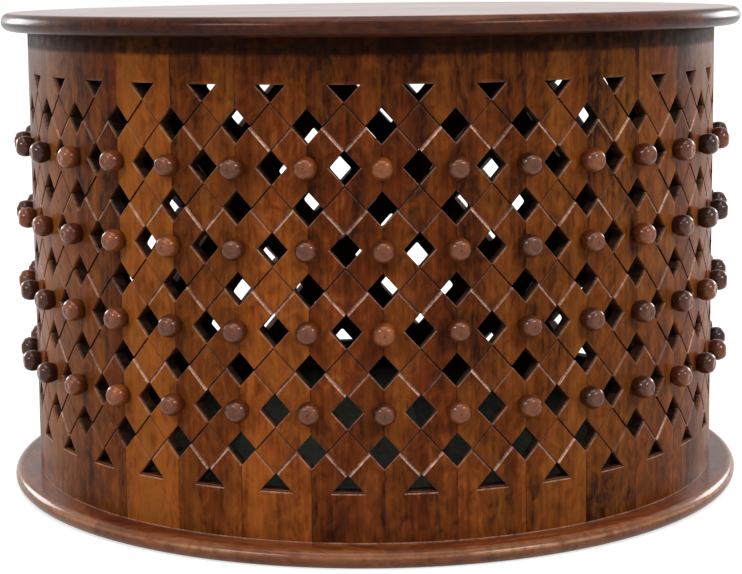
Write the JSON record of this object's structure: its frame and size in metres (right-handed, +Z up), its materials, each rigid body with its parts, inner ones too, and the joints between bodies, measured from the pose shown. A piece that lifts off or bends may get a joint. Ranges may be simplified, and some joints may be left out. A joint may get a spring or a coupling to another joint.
{
  "type": "drum table",
  "caption": "Round drum table: pierced lattice staves set with rows of turned knobs, a flat round-edged wooden top and a flat base.",
  "frame": {"origin": "on the floor, at the centre of the base ring, on the drum's axis", "axes": "+Z up along the drum's axis; -Y is the front, where a seam between two staves lies"},
  "size_m": [0.762, 0.762, 0.485],
  "materials": {
    "top_wood": "glossy dark brown stained wood",
    "stave_wood": "semi-gloss brown stained wood",
    "knob_wood": "glossy reddish brown stained wood",
    "base_wood": "glossy brown stained wood",
    "block_wood": "bare wood",
    "screw_steel": "zinc plated steel"
  },
  "bodies": {
    "root": {"top_board_1": "top_wood", "top_board_2": "top_wood", "top_board_3": "top_wood", "top_board_4": "top_wood", "top_board_5": "top_wood", "stave_01": "stave_wood", "stave_02": "stave_wood", "stave_03": "stave_wood", "stave_04": "stave_wood", "stave_05": "stave_wood", "stave_06": "stave_wood", "stave_07": "stave_wood", "stave_08": "stave_wood", "stave_09": "stave_wood", "stave_10": "stave_wood", "stave_11": "stave_wood", "stave_12": "stave_wood", "stave_13": "stave_wood", "stave_14": "stave_wood", "stave_15": "stave_wood", "stave_16": "stave_wood", "stave_17": "stave_wood", "stave_18": "stave_wood", "stave_19": "stave_wood", "stave_20": "stave_wood", "stave_21": "stave_wood", "stave_22": "stave_wood", "stave_23": "stave_wood", "stave_24": "stave_wood", "stave_25": "stave_wood", "stave_26": "stave_wood", "stave_27": "stave_wood", "stave_28": "stave_wood", "stave_29": "stave_wood", "stave_30": "stave_wood", "stave_31": "stave_wood", "stave_32": "stave_wood", "stave_33": "stave_wood", "stave_34": "stave_wood", "knobs_row_1": "knob_wood", "knobs_row_2": "knob_wood", "knobs_row_3": "knob_wood", "knobs_row_4": "knob_wood", "base_segment_1": "base_wood", "base_segment_2": "base_wood", "base_segment_3": "base_wood", "base_segment_4": "base_wood", "base_segment_5": "base_wood", "base_segment_6": "base_wood", "base_segment_7": "base_wood", "base_segment_8": "base_wood", "bottom_boards": "base_wood", "glue_block_1": "block_wood", "glue_block_2": "block_wood", "glue_block_3": "block_wood", "glue_block_4": "block_wood", "glue_block_5": "block_wood", "glue_block_6": "block_wood", "base_screws": "screw_steel", "block_screws": "screw_steel"}
  },
  "joints": []
}
